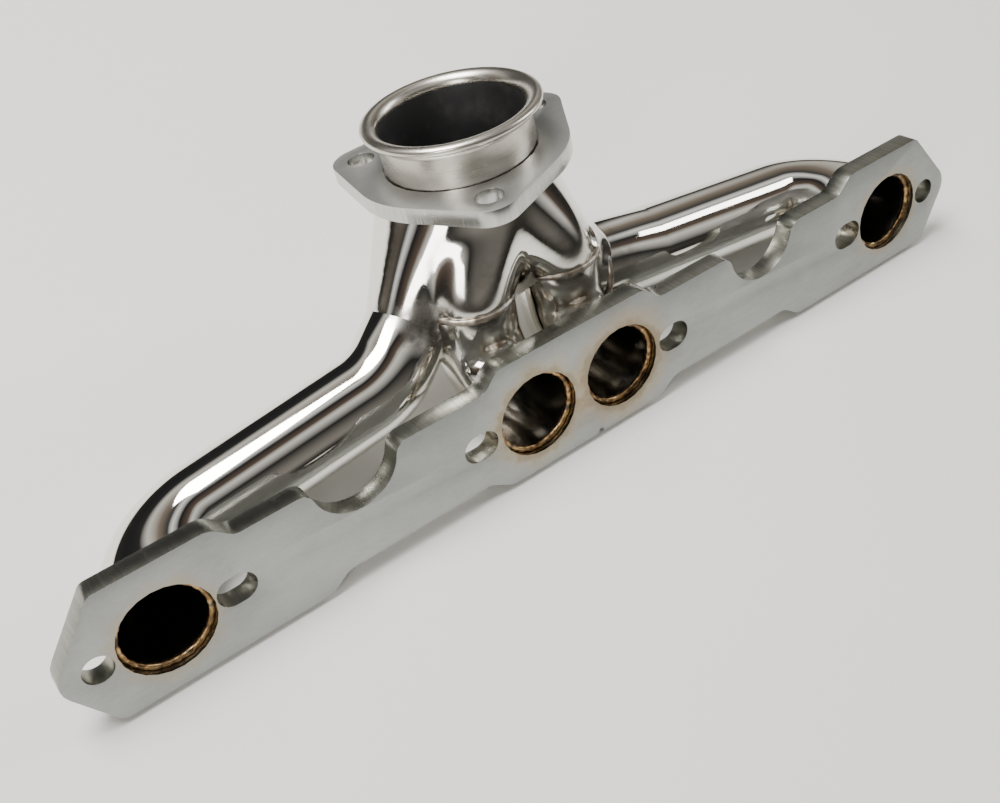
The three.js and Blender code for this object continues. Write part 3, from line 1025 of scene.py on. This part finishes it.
@dataclass
class Collector(SubAssembly):
    """The formed four-into-one collector: four swelling lobes that melt into one collar."""

    VOXEL = 1.15
    LOBE_POINTS = 18
    SHOULDER = 1.6
    OVERLAP = 4.0
    TRIM_DROP = 0.3
    SMOOTH_PASSES = 70
    NECK_MOUTH = 33.2
    TUBE_MOUTH = 19.2

    @dataclass(frozen=True)
    class Lobe:
        """How one lobe leaves its tube and rises to the collar, in millimetres."""

        reach: float
        rise: float
        lift: float
        spread: float
        bulge: float

    SHAPES = {(Run.OUTER, Side.LEFT): Lobe(12.0, 10.0, 15.0, 11.0, 5.0),
              (Run.OUTER, Side.RIGHT): Lobe(17.0, 4.0, 15.0, 8.0, 3.0),
              (Run.INNER, Side.LEFT): Lobe(12.0, 0.0, 20.0, 4.0, 5.0),
              (Run.INNER, Side.RIGHT): Lobe(12.0, 0.0, 20.0, 4.0, 5.0)}

    def _lobe(self, run: Run, side: Side) -> bpy.types.Object:
        """One lobe as a curve with a swelling bevel, turned into a mesh.

        Args:
            run: outer or inner.
            side: left or right.

        Returns:
            The lobe.
        """
        shape = self.SHAPES[run, side]
        path = Routing.path(self.layout, run, side)
        start, way = path.points[-1], path.end_way
        end = self.layout.on_outlet(-OutletNeck.SHOULDER_DROP - 2.0)
        up = self.layout.direction((0, 0, 1))
        out = self.layout.direction((side.value, 0, 0))
        handles = (start - way * self.OVERLAP * MM,
                   start + (way * shape.reach + up * shape.rise) * MM,
                   end + (out * shape.spread - self.layout.outlet_axis * shape.lift) * MM,
                   end)
        Bench.clear()
        bpy.ops.curve.primitive_nurbs_path_add(location=(0, 0, 0))
        lobe = bpy.context.object
        curve = lobe.data
        curve.splines.clear()
        spline = curve.splines.new("POLY")
        spline.points.add(self.LOBE_POINTS - 1)
        for index, point in enumerate(spline.points):
            t = index / (self.LOBE_POINTS - 1)
            weights = ((1 - t) ** 3, 3 * t * (1 - t) ** 2, 3 * t * t * (1 - t), t ** 3)
            place = sum((w * h for w, h in zip(weights, handles)), Vector())
            point.co = (*place, 1.0)
            swell = t * t * (3 - 2 * t)
            radius = Routing.TUBE_RADIUS + (OutletNeck.RADIUS - 0.4 - Routing.TUBE_RADIUS) * swell
            point.radius = radius + shape.bulge * math.sin(math.pi * t ** self.SHOULDER)
        curve.dimensions = "3D"
        curve.bevel_depth = MM
        curve.bevel_resolution = 14
        curve.use_fill_caps = True
        bpy.ops.object.convert(target="MESH")
        return lobe

    def build(self, finish: bpy.types.Material, lining: bpy.types.Material) -> None:
        """Melts the lobes together, smooths the creases and opens the mouths.

        Args:
            finish: the collector's outer material.
            lining: its inner material.
        """
        lobes = [self._lobe(run, side) for run in Run for side in Side]
        drop = OutletNeck.SHOULDER_DROP + 6.0
        collar = Bench.turned("collar", self.layout.outlet, (
            (OutletNeck.RADIUS, 0.6), (OutletNeck.RADIUS, -drop)), 96)
        Bench.edit(collar, "EDGE")
        bpy.ops.mesh.select_all(action="SELECT")
        bpy.ops.mesh.select_non_manifold()
        bpy.ops.mesh.edge_face_add()
        Bench.clear()
        for piece in (collar, *lobes):
            piece.select_set(True)
        bpy.context.view_layer.objects.active = collar
        bpy.ops.object.join()
        shell = bpy.context.object
        shell.name = "collector_shell"
        Bench.modify(shell, "REMESH", mode="VOXEL", voxel_size=self.VOXEL * MM)
        self._trim(shell)
        Bench.modify(shell, "SMOOTH", factor=0.5, iterations=self.SMOOTH_PASSES)
        self._open(shell)
        Bench.line(shell, finish, lining, Routing.TUBE_WALL)
        Bench.settle(shell, 60.0)
        self.keep(shell, None, MANIFOLD, "polished_stainless", "collector")

    def _trim(self, shell: bpy.types.Object) -> None:
        """Cuts off what rises past the neck's base.

        Args:
            shell: the melted solid.
        """
        Bench.edit(shell)
        bpy.ops.mesh.select_all(action="SELECT")
        bpy.ops.mesh.bisect(plane_co=self.layout.on_outlet(-self.TRIM_DROP),
                            plane_no=self.layout.outlet_axis, clear_outer=True, use_fill=True)
        Bench.clear()

    def _open(self, shell: bpy.types.Object) -> None:
        """Deletes the faces over the neck and over the four tube ends.

        Args:
            shell: the melted solid.
        """
        axis = self.layout.outlet_axis
        top = self.layout.on_outlet(-self.TRIM_DROP)
        ends = [Routing.path(self.layout, run, side) for run in Run for side in Side]

        def is_mouth(centre: Vector) -> bool:
            """Whether a face covers a mouth."""
            rise = (centre - top).dot(axis)
            off_axis = (centre - top - axis * rise).length
            if rise > -1.6 * MM and off_axis < self.NECK_MOUTH * MM:
                return True
            for path in ends:
                depth = (centre - path.points[-1]).dot(path.end_way)
                aside = (centre - path.points[-1] - path.end_way * depth).length
                if -6 * MM < depth < 0.4 * MM and aside < self.TUBE_MOUTH * MM:
                    return True
            return False

        Bench.edit(shell, "FACE")
        Bench.pick_faces(shell, is_mouth)
        bpy.ops.mesh.delete(type="FACE")
        Bench.clear()


@dataclass
class OutletNeck(SubAssembly):
    """The neck with its rolled lip."""

    RADIUS = 33.9
    WALL = 1.7
    HEIGHT = 30.6
    LIP_RADIUS = 39.9
    LIP_UNDERSIDE = 26.8
    LIP_EDGE = 1.7
    FLARE_RADIUS = 5.0
    SWIVEL_HEIGHT = 5.4
    SHOULDER_DROP = 3.0
    SIDES = 160
    SCAR = (8.0, -33.9, 17.0)

    @staticmethod
    def _arc(centre: tuple[float, float], radius: float, start: float, end: float,
             steps: int) -> list[tuple[float, float]]:
        """Points along an arc of the profile.

        Args:
            centre: the arc's centre as (radius, height) in millimetres.
            radius: the arc's own radius in millimetres.
            start: its first angle in degrees.
            end: its last angle in degrees.
            steps: number of pieces.

        Returns:
            (radius, height) pairs in millimetres.
        """
        turns = [math.radians(start + (end - start) * k / steps) for k in range(steps + 1)]
        return [(centre[0] + radius * math.cos(turn), centre[1] + radius * math.sin(turn))
                for turn in turns]

    def build(self, lining: bpy.types.Material) -> None:
        """Draws the neck's closed profile around the outlet's axis.

        Args:
            lining: the finish of the bore.
        """
        bore = self.RADIUS - self.WALL
        cove = self.LIP_RADIUS - 1.5 - self.RADIUS
        under = self.LIP_UNDERSIDE
        profile = [
            (self.RADIUS, 0.0), (self.RADIUS, 6.0), (self.RADIUS, 14.0),
            *self._arc((self.RADIUS + cove, under - cove), cove, 180, 100, 8),
            *self._arc((self.LIP_RADIUS - self.LIP_EDGE, under + self.LIP_EDGE),
                       self.LIP_EDGE, -70, 62, 8),
            *self._arc((bore + 5.2, self.HEIGHT - self.FLARE_RADIUS), self.FLARE_RADIUS,
                       86, 180, 12),
            (bore + 0.3, under - cove), (bore, 14.0), (bore, 1.0), (bore, 0.0),
            (self.RADIUS, 0.0),
        ]
        neck = Bench.turned("outlet_neck_lip", self.layout.outlet, profile, self.SIDES)
        Bench.edit(neck)
        bpy.ops.mesh.select_all(action="SELECT")
        bpy.ops.mesh.remove_doubles(threshold=2e-5)
        bpy.ops.mesh.normals_make_consistent(inside=False)
        Bench.settle(neck, 50.0)
        neck.data.materials.append(None)
        neck.data.materials.append(lining)
        inwards = self.layout.outlet.inverted()
        for face in neck.data.polygons:
            centre = inwards @ face.center
            deep = centre.z < (self.HEIGHT - 5.2) * MM
            face.material_index = int(deep and math.hypot(centre.x, centre.y) < (bore + 0.9) * MM)
        scar = self.layout.outlet @ (Vector(self.SCAR) * MM)
        finish = Brushed("satin_stainless", self.layout.outlet.to_3x3(), blots=(
            Blot(scar, 1.5 * MM, 4.6 * MM, (0.30, 0.29, 0.27, 1.0), 0.6, 0.2),))
        neck.data.materials[0] = finish.build(self.groups)
        self.keep(neck, None, MANIFOLD, "satin_stainless", "outlet_neck")


@dataclass(frozen=True)
class BeadSize:
    """A weld bead in millimetres: its ring, its own radius, its height ratio and its ripples."""

    radius: float
    thick: float
    flat: float
    ripple: float


@dataclass
class Welds(SubAssembly):
    """Every weld bead: a ring with overlapping ripples."""

    MAJOR = 120
    MINOR = 14
    REAR = BeadSize(20.4, 1.6, 0.75, 0.16)
    PORT = BeadSize(18.85, 1.3, 1.0, 0.15)
    SEAM = BeadSize(19.4, 0.95, 1.5, 0.1)
    NECK = BeadSize(33.9, 1.15, 0.9, 0.1)
    REAR_Y = 10.6
    PORT_Y = 3.9
    NECK_DROP = 0.1

    def bead(self, name: str, place: Matrix, size: BeadSize) -> bpy.types.Object:
        """A rippled ring.

        Args:
            name: the bead's name.
            place: the frame whose Z axis runs through the ring.
            size: the bead's measures.

        Returns:
            The bead.
        """
        Bench.clear()
        bpy.ops.mesh.primitive_torus_add(
            major_segments=self.MAJOR, minor_segments=self.MINOR, major_radius=size.radius * MM,
            minor_radius=size.thick * MM, location=(0, 0, 0))
        bead = bpy.context.object
        bead.name = name
        bead.scale = (1.0, 1.0, size.flat)
        bpy.ops.object.transform_apply(location=False, rotation=False, scale=True)
        rng = random.Random(SEED + len(self.pieces))
        for phase, amount in ((0, size.ripple), (3, -size.ripple * 0.7)):
            Bench.edit(bead)
            bpy.ops.object.mode_set(mode="OBJECT")
            for vertex in bead.data.vertices:
                step = round(math.atan2(vertex.co.y, vertex.co.x) / math.tau * self.MAJOR)
                vertex.select = (step - phase) % 5 < 2
            bpy.ops.object.mode_set(mode="EDIT")
            bpy.ops.transform.shrink_fatten(value=amount * MM * rng.uniform(0.85, 1.15))
            Bench.clear()
        bead.matrix_world = place
        Bench.settle(bead, 180.0)
        return bead

    def build(self) -> None:
        """Makes the beads at the flange, in the ports, at the collector and under the neck."""
        dull = Weld("weld_bead", ((0.20, 0.17, 0.14, 1.0), (0.42, 0.36, 0.29, 1.0),
                                  (0.50, 0.47, 0.43, 1.0), (0.30, 0.30, 0.33, 1.0)),
                    0.26).build(self.groups)
        gold = Weld("tinted_weld", ((0.05, 0.035, 0.022, 1.0), (0.20, 0.12, 0.055, 1.0),
                                    (0.50, 0.33, 0.16, 1.0), (0.11, 0.085, 0.065, 1.0)),
                    0.2).build(self.groups)
        back = self.layout.direction((0, 1, 0)).to_track_quat("Z", "Y").to_matrix().to_4x4()
        for run in Run:
            for side in Side:
                tag = f"{run.value}_{side.label}"
                x = Routing.PORT_X[run] * side.value
                rear = Matrix.Translation(self.layout.point((x, self.REAR_Y, 0.0))) @ back
                self.keep(self.bead(f"rear_bead_{tag}", rear, self.REAR), dull, MANIFOLD,
                          "weld_bead", f"flange_weld_{tag}")
                port = Matrix.Translation(self.layout.point((x, self.PORT_Y, 0.0))) @ back
                self.keep(self.bead(f"port_bead_{tag}", port, self.PORT), gold, MANIFOLD,
                          "tinted_weld", f"port_weld_{tag}")
                path = Routing.path(self.layout, run, side)
                turn = path.end_way.to_track_quat("Z", "Y").to_matrix().to_4x4()
                seam = Matrix.Translation(path.points[-1]) @ turn
                self.keep(self.bead(f"seam_bead_{tag}", seam, self.SEAM), dull, MANIFOLD,
                          "weld_bead", f"collector_weld_{tag}")
        neck = self.layout.outlet @ Matrix.Translation((0, 0, -self.NECK_DROP * MM))
        self.keep(self.bead("neck_bead", neck, self.NECK), dull, MANIFOLD, "weld_bead",
                  "neck_weld")


# ---- studio ---------------------------------------------------------------------------------


class Studio:
    """The floor, the lights and the camera."""

    CAMERA = (-228.0, -339.1, 306.8)
    RIGHT = (0.8026, -0.5755, -0.1572)
    UP = (0.4550, 0.4201, 0.7851)
    LENS = 41.58
    BACKDROP = (0.55, 0.55, 0.53, 1.0)
    # Each soft light: name, place and size in metres, watts and colour.
    LIGHTS = (("key", (-0.5, 0.5, 1.7), (1.1, 0.8), 56.0, (1.0, 0.99, 0.97)),
              ("fill", (-1.3, -0.9, 0.9), (0.5, 0.7), 9.0, (1.0, 0.97, 0.93)),
              ("side", (1.5, -0.2, 1.0), (0.35, 1.0), 9.0, (1.0, 0.99, 0.97)))
    # The strips that the metal mirrors: position and colour, from the near side to the far one.
    BANDS = (
        (0.16, (0.02, 0.02, 0.02)), (0.27, (0.80, 0.78, 0.74)), (0.34, (0.12, 0.09, 0.07)),
        (0.47, (0.015, 0.015, 0.018)), (0.56, (0.95, 0.95, 0.93)), (0.62, (0.05, 0.05, 0.05)),
        (0.74, (0.24, 0.20, 0.16)), (0.86, (0.75, 0.73, 0.68)), (0.93, (0.03, 0.03, 0.03)))

    def __init__(self, layout: Layout) -> None:
        """Keeps the frames.

        Args:
            layout: the model's frames.
        """
        self.layout = layout

    def floor(self) -> None:
        """A pale floor with a soft matt finish."""
        Bench.clear()
        bpy.ops.mesh.primitive_plane_add(size=9.0, location=(0, 0, 0))
        floor = bpy.context.object
        floor.name = "floor"
        material, tree, place = start_material("pale_floor")
        shade = tree.mix(tree.noise(place, 3.0, 3.0), (0.81, 0.805, 0.775, 1.0),
                         (0.86, 0.855, 0.83, 1.0))
        shader = tree.add("BsdfPrincipled", {"Base Color": shade, "Roughness": 0.9})
        tree.add("OutputMaterial", {"Surface": shader.outputs[0]})
        floor.data.materials.append(material)

    def light(self, name: str, place: Sequence[float], size: tuple[float, float],
              power: float, tone: tuple[float, float, float]) -> None:
        """A soft rectangular light aimed at the manifold.

        Args:
            name: the light's name.
            place: metres.
            size: width and height in metres.
            power: watts.
            tone: its colour.
        """
        data = bpy.data.lights.new(name, "AREA")
        data.shape = "RECTANGLE"
        data.size, data.size_y = size
        data.energy = power
        data.color = tone
        lamp = bpy.data.objects.new(name, data)
        way = Vector((0, 0, 0.05)) - Vector(place)
        lamp.matrix_world = (Matrix.Translation(place)
                             @ way.to_track_quat("-Z", "Y").to_matrix().to_4x4())
        bpy.context.scene.collection.objects.link(lamp)

    def room(self) -> None:
        """A banded room that the metal mirrors, behind a plain pale backdrop."""
        world = bpy.data.worlds.new("room")
        bpy.context.scene.world = world
        world.use_nodes = True
        world.node_tree.nodes.clear()
        tree = NodeTree(world.node_tree)
        way = tree.add("TexCoord").outputs["Generated"]
        height = tree.add("SeparateXYZ", {0: way}).outputs["Z"]
        across = tree.add("SeparateXYZ", {0: way}).outputs["Y"]
        wander = tree.math("MULTIPLY", tree.noise(way, 1.2, 1.0, 0.4), 0.12)
        ramp = tree.add("ValToRGB", {"Fac": tree.math(
            "ADD", tree.math("MULTIPLY", across, 0.5), tree.math("ADD", wander, 0.44))})
        stops = ramp.color_ramp.elements
        stops[0].position, stops[0].color = 0.0, (0.30, 0.28, 0.25, 1.0)
        stops[1].position, stops[1].color = 1.0, (0.02, 0.02, 0.022, 1.0)
        for position, tone in self.BANDS:
            stops.new(position).color = (*tone, 1.0)
        shade = tree.mix(tree.fade(height, 0.02, 0.3), (0.03, 0.028, 0.025, 1.0),
                         ramp.outputs[0])
        seen = tree.add("LightPath").outputs["Is Camera Ray"]
        glow = tree.add("Background", {"Color": tree.mix(seen, shade, self.BACKDROP),
                                       "Strength": 1.0})
        tree.add("OutputWorld", {"Surface": glow.outputs[0]})

    def camera(self) -> None:
        """Sets the camera at the matched place."""
        data = bpy.data.cameras.new("camera")
        data.lens = self.LENS
        data.sensor_width = 36.0
        data.clip_start = 0.01
        camera = bpy.data.objects.new("camera", data)
        right = self.layout.direction(self.RIGHT)
        up = self.layout.direction(self.UP)
        turn = Matrix((right, up, right.cross(up))).transposed().to_4x4()
        camera.matrix_world = Matrix.Translation(self.layout.point(self.CAMERA)) @ turn
        bpy.context.scene.collection.objects.link(camera)
        bpy.context.scene.camera = camera

    def build(self) -> None:
        """Sets the stage."""
        self.floor()
        self.room()
        for name, place, size, power, tone in self.LIGHTS:
            self.light(name, place, size, power, tone)
        self.camera()


# ---- the whole ------------------------------------------------------------------------------


def seam_soot_and_crease_shade(layout: Layout) -> tuple[Blot, ...]:
    """Soot around the collector's seams, and painted shade in its left crease.

    Args:
        layout: the model's frames.

    Returns:
        The patches.
    """
    # The second tone is a near-black painted shade for the left crease.
    film, crease = (0.10, 0.085, 0.065, 1.0), (0.02, 0.018, 0.016, 1.0)
    below = layout.direction((0, 1, 0)) * 6 * MM
    ends = [Routing.path(layout, run, side).points[-1] for run in Run for side in Side]
    return (*(Blot(end - below, 15 * MM, 25 * MM, film, 0.35, 0.22) for end in ends),
            Blot(layout.point((-49.0, 43.0, 41.0)), 2 * MM, 14 * MM, crease, 0.85, 0.3))


def main() -> None:
    """Builds the manifold and its stage."""
    logging.basicConfig(level=logging.INFO, format="%(name)s %(message)s")
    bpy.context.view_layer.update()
    layout = Layout(frame["record"])
    groups = EffectGroups()
    # Soot at the collector's seams, with painted shade in its left crease.
    soot_and_shade = seam_soot_and_crease_shade(layout)
    tube_finish = Polished("polished_tube", blots=soot_and_shade).build(groups)
    shell_finish = Polished("polished_shell", waviness=0.14, roughness=0.055,
                            blots=soot_and_shade).build(groups)
    HeadFlange(layout, groups).build()
    tube_bore = Polished("tube_bore", tone=(0.28, 0.26, 0.225, 1.0), roughness=0.2).build(groups)
    dark_bore = Polished("outlet_bore", tone=(0.13, 0.13, 0.135, 1.0), roughness=0.5).build(groups)
    for run in Run:
        for side in Side:
            PrimaryTube(layout, groups, run=run, side=side, finish=tube_finish,
                        bore=tube_bore).build()
    Collector(layout, groups).build(shell_finish, dark_bore)
    OutletNeck(layout, groups).build(dark_bore)
    LooseFlange(layout, groups).build()
    Welds(layout, groups).build()
    Studio(layout).build()


if __name__ == "__main__":
    main()
